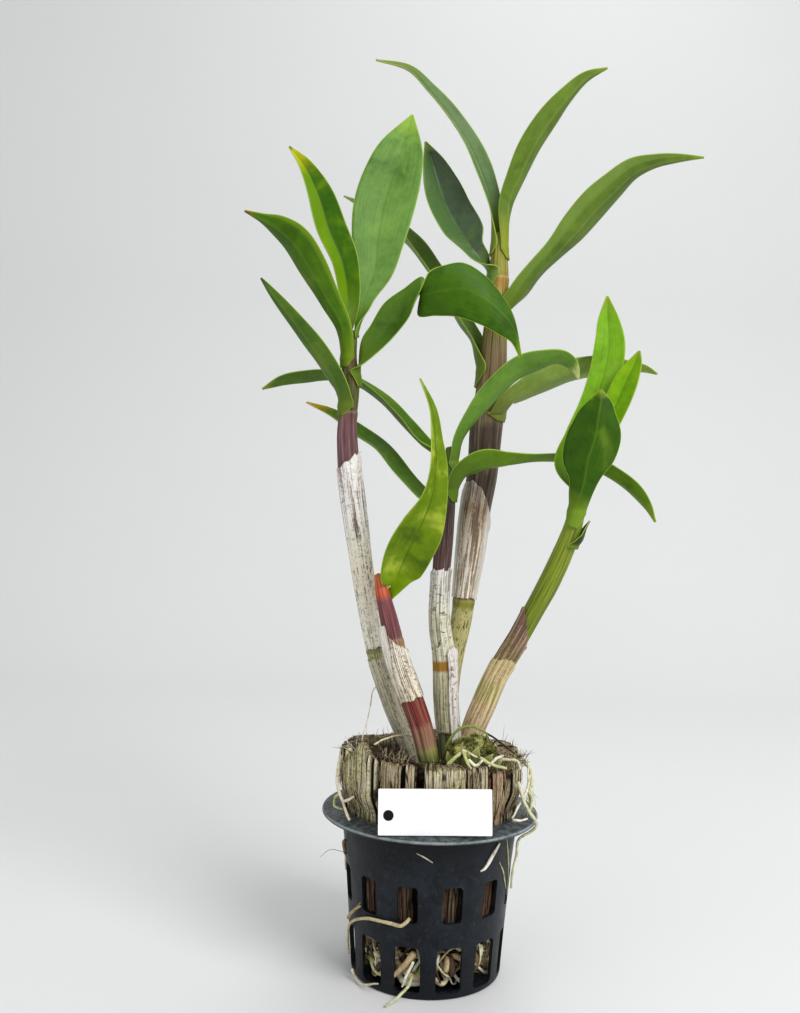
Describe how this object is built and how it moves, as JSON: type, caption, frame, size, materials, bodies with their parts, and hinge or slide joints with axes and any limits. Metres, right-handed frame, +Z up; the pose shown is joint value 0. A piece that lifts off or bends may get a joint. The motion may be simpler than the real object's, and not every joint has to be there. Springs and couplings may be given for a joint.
{
  "type": "potted dendrobium orchid",
  "caption": "Young dendrobium orchid without flowers: leafy canes with dry sheaths standing in coconut husk in a slotted dark plastic net pot with a blank white tag.",
  "frame": {"origin": "centre of the underside of the pot's base, on the surface that the pot stands on", "axes": "+Z up; -Y is the front, where the tag stands; +X to the right seen from the front"},
  "size_m": [0.2194, 0.104, 0.4445],
  "materials": {
    "pot_plastic": "dark blue-grey moulded plastic, matt, scuffed",
    "tag_card": "white plant label, smooth",
    "husk_fibre": "dry coconut husk, fibrous, green and grey lichen outside",
    "root_fibre": "dark fibre and roots",
    "moss_green": "damp moss",
    "root_pale": "pale dry orchid root",
    "sheath_paper": "dry papery sheath, grey-white, streaked",
    "sheath_straw": "dry papery sheath, straw brown",
    "cane_a_skin": "orchid cane, satin, purple striped above, olive grey below",
    "cane_b_skin": "orchid cane, satin, maroon and orange-red bands, green foot",
    "cane_c_skin": "orchid cane, satin, maroon above, grey-green striped below",
    "cane_d_skin": "orchid cane, satin, yellow-green at the top, tan brown, olive below",
    "cane_e_skin": "orchid cane, satin, fresh green with pale lines",
    "leaf_a1_green": "fleshy orchid leaf, satin green",
    "leaf_a2_green": "fleshy orchid leaf, satin green",
    "leaf_a3_green": "fleshy orchid leaf, satin green",
    "leaf_a5_green": "fleshy orchid leaf, satin green",
    "leaf_b1_green": "fleshy orchid leaf, satin green",
    "leaf_c1_green": "fleshy orchid leaf, satin green",
    "leaf_c2_green": "fleshy orchid leaf, satin green",
    "leaf_c4_green": "fleshy orchid leaf, satin green",
    "leaf_c5_green": "fleshy orchid leaf, satin green",
    "leaf_d1_green": "fleshy orchid leaf, satin green",
    "leaf_d2_green": "fleshy orchid leaf, satin green",
    "leaf_d3_green": "fleshy orchid leaf, satin green",
    "leaf_d4_green": "fleshy orchid leaf, satin green",
    "leaf_d5_green": "fleshy orchid leaf, satin green",
    "leaf_d6_green": "fleshy orchid leaf, satin green",
    "leaf_e1_green": "fleshy orchid leaf, satin green",
    "leaf_e2_green": "fleshy orchid leaf, satin green",
    "leaf_e3_green": "fleshy orchid leaf, satin green",
    "bract_e_green": "fleshy orchid leaf, satin green",
    "leaf_a4_green": "fleshy orchid leaf, satin green"
  },
  "bodies": {
    "root": {"pot": "pot_plastic", "tag": "tag_card", "husk_1": "husk_fibre", "husk_2": "husk_fibre", "husk_3": "husk_fibre", "husk_4": "husk_fibre", "husk_5": "husk_fibre", "husk_6": "husk_fibre", "husk_7": "husk_fibre", "husk_8": "husk_fibre", "husk_9": "husk_fibre", "husk_10": "husk_fibre", "husk_11": "husk_fibre", "root_ball": "root_fibre", "moss": "moss_green", "root_left": "root_pale", "root_foot": "root_pale", "root_right": "root_pale", "root_rim": "root_pale", "cane_a": "cane_a_skin", "cane_b": "cane_b_skin", "cane_c": "cane_c_skin", "cane_d": "cane_d_skin", "cane_e": "cane_e_skin", "sheath_a": "sheath_paper", "sheath_b": "sheath_paper", "sheath_c": "sheath_paper", "sheath_d": "sheath_paper", "sheath_e": "sheath_straw", "leaf_a1": "leaf_a1_green", "leaf_a2": "leaf_a2_green", "leaf_a3": "leaf_a3_green", "leaf_a5": "leaf_a5_green", "leaf_b1": "leaf_b1_green", "leaf_c1": "leaf_c1_green", "leaf_c2": "leaf_c2_green", "leaf_c4": "leaf_c4_green", "leaf_c5": "leaf_c5_green", "leaf_d1": "leaf_d1_green", "leaf_d2": "leaf_d2_green", "leaf_d3": "leaf_d3_green", "leaf_d4": "leaf_d4_green", "leaf_d5": "leaf_d5_green", "leaf_d6": "leaf_d6_green", "leaf_e1": "leaf_e1_green", "leaf_e2": "leaf_e2_green", "leaf_e3": "leaf_e3_green", "bract_e": "bract_e_green", "leaf_a4": "leaf_a4_green"}
  },
  "joints": []
}
